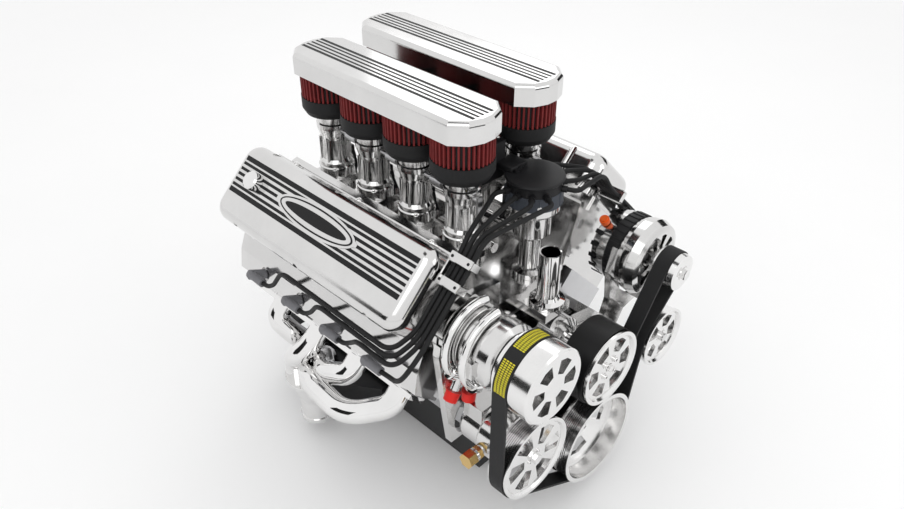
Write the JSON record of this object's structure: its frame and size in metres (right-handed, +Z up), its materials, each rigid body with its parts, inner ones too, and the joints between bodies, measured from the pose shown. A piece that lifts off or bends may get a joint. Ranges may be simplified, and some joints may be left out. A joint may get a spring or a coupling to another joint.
{
  "type": "v8 engine",
  "caption": "Complete V8 engine with individual throttle stacks under round pleated air filters, finned valve covers, header pipes and a front belt drive with its accessories.",
  "frame": {"origin": "centre of the crankshaft's flywheel flange, in the plane of the block's rear face", "axes": "+Z up, +Y to the gearbox, -Y to the pulleys, +X to the right seen from the front"},
  "size_m": [0.695, 0.728, 0.728],
  "materials": {
    "polished_aluminium": "polished",
    "cast_aluminium": "as cast, bright",
    "chrome": "mirror",
    "steel": "machined",
    "iron": "machined casting",
    "black_paint": "satin black",
    "black_plastic": "moulded",
    "rubber": "moulded",
    "grey_rubber": "moulded silicone",
    "filter_cloth": "pleated",
    "laminate": "black laminations"
  },
  "bodies": {
    "engine": {"ac_compressor": "polished_aluminium", "ac_lines": "polished_aluminium", "accessory_brackets": "polished_aluminium", "air_filters": "filter_cloth", "alternator_housing": "cast_aluminium", "alternator_stator": "laminate", "cylinder_block": "cast_aluminium", "cylinder_head_left": "polished_aluminium", "cylinder_head_right": "polished_aluminium", "distributor_cap": "black_plastic", "distributor_housing": "polished_aluminium", "exhaust_header_left": "chrome", "exhaust_header_right": "chrome", "filter_bases": "rubber", "filter_covers": "polished_aluminium", "fuel_rails": "polished_aluminium", "ignition_coil": "black_plastic", "ignition_wires": "rubber", "intake_manifold": "polished_aluminium", "lifters": "steel", "main_bearing_caps": "iron", "oil_filter": "black_paint", "oil_pan": "black_paint", "pistons": "polished_aluminium", "plug_boots": "grey_rubber", "ps_pump": "polished_aluminium", "pushrods": "steel", "rocker_arms": "steel", "serpentine_belt": "rubber", "spark_plugs": "steel", "thermostat_housing": "polished_aluminium", "throttle_bodies_left": "polished_aluminium", "throttle_bodies_right": "polished_aluminium", "timing_chain": "steel", "timing_cover": "cast_aluminium", "valve_cover_bolts": "chrome", "valve_cover_left": "polished_aluminium", "valve_cover_right": "polished_aluminium", "valve_springs": "steel", "valves": "steel", "water_pump_housing": "cast_aluminium", "wire_looms": "polished_aluminium"},
    "crank": {"crankshaft": "steel", "crank_sprocket": "steel", "harmonic_damper": "steel", "crank_pulley": "chrome"},
    "cam": {"camshaft": "steel", "cam_sprocket": "steel"},
    "water_pump_drive": {"water_pump_rotor": "steel", "water_pump_pulley": "black_paint"},
    "alternator_drive": {"alternator_rotor": "steel", "alternator_pulley": "chrome"},
    "compressor_clutch": {"ac_pulley": "chrome"},
    "steering_drive": {"ps_pulley": "chrome"},
    "rotor_arm": {"distributor_rotor": "black_plastic"},
    "belt_arm": {"tensioner_arm": "polished_aluminium"},
    "belt_idler": {"idler_pulley": "chrome"},
    "throttle_row_left": {"throttle_shaft_left": "steel"},
    "throttle_row_right": {"throttle_shaft_right": "steel"},
    "filler_cap": {"oil_filler_cap": "chrome"}
  },
  "joints": [
    {"name": "crank_spin", "type": "hinge", "parent": "engine", "child": "crank", "pos_m": [0, 0, 0], "axis": [0, 1, 0], "continuous": true},
    {"name": "cam_spin", "type": "hinge", "parent": "engine", "child": "cam", "pos_m": [0, 0, 0.118], "axis": [0, 1, 0], "continuous": true},
    {"name": "water_pump_spin", "type": "hinge", "parent": "engine", "child": "water_pump_drive", "pos_m": [0, -0.6, 0.172], "axis": [0, 1, 0], "continuous": true},
    {"name": "alternator_spin", "type": "hinge", "parent": "engine", "child": "alternator_drive", "pos_m": [0.19, -0.6, 0.27], "axis": [0, 1, 0], "continuous": true},
    {"name": "compressor_spin", "type": "hinge", "parent": "engine", "child": "compressor_clutch", "pos_m": [-0.187, -0.6, 0.272], "axis": [0, 1, 0], "continuous": true},
    {"name": "steering_spin", "type": "hinge", "parent": "engine", "child": "steering_drive", "pos_m": [-0.174, -0.6, 0.084], "axis": [0, 1, 0], "continuous": true},
    {"name": "rotor_spin", "type": "hinge", "parent": "engine", "child": "rotor_arm", "pos_m": [0.0325, -0.49, 0.3], "axis": [0, 0, 1], "continuous": true},
    {"name": "belt_arm_swing", "type": "hinge", "parent": "engine", "child": "belt_arm", "pos_m": [0.15, -0.646, 0.055], "axis": [0, 1, 0], "range_deg": [0, 12], "stiffness_Nm_per_rad": 40, "springref_deg": -20.05},
    {"name": "idler_spin", "type": "hinge", "parent": "belt_arm", "child": "belt_idler", "pos_m": [0.178, -0.676, 0.128], "axis": [0, 1, 0], "continuous": true},
    {"name": "throttle_left_turn", "type": "hinge", "parent": "engine", "child": "throttle_row_left", "pos_m": [-0.086, -0.271, 0.436], "axis": [0, 1, 0], "range_deg": [0, 80], "stiffness_Nm_per_rad": 0.15, "springref_deg": -28.65},
    {"name": "throttle_right_turn", "type": "hinge", "parent": "engine", "child": "throttle_row_right", "pos_m": [0.086, -0.25, 0.436], "axis": [0, 1, 0], "range_deg": [0, 80], "stiffness_Nm_per_rad": 0.15, "springref_deg": -28.65},
    {"name": "filler_cap_turn", "type": "hinge", "parent": "engine", "child": "filler_cap", "pos_m": [-0.25336, -0.086, 0.37781], "axis": [-0.7071, 0, 0.7071], "range_deg": [0, 90]}
  ],
  "couplings": [
    {"joint": "cam_spin", "follows": "crank_spin", "ratio": 0.5},
    {"joint": "water_pump_spin", "follows": "crank_spin", "ratio": -1.292},
    {"joint": "alternator_spin", "follows": "crank_spin", "ratio": 2.7656},
    {"joint": "compressor_spin", "follows": "crank_spin", "ratio": 1.475},
    {"joint": "steering_spin", "follows": "crank_spin", "ratio": 1.2123},
    {"joint": "rotor_spin", "follows": "crank_spin", "ratio": 0.5},
    {"joint": "idler_spin", "follows": "crank_spin", "ratio": -1.5804},
    {"joint": "throttle_right_turn", "follows": "throttle_left_turn", "ratio": 1}
  ]
}
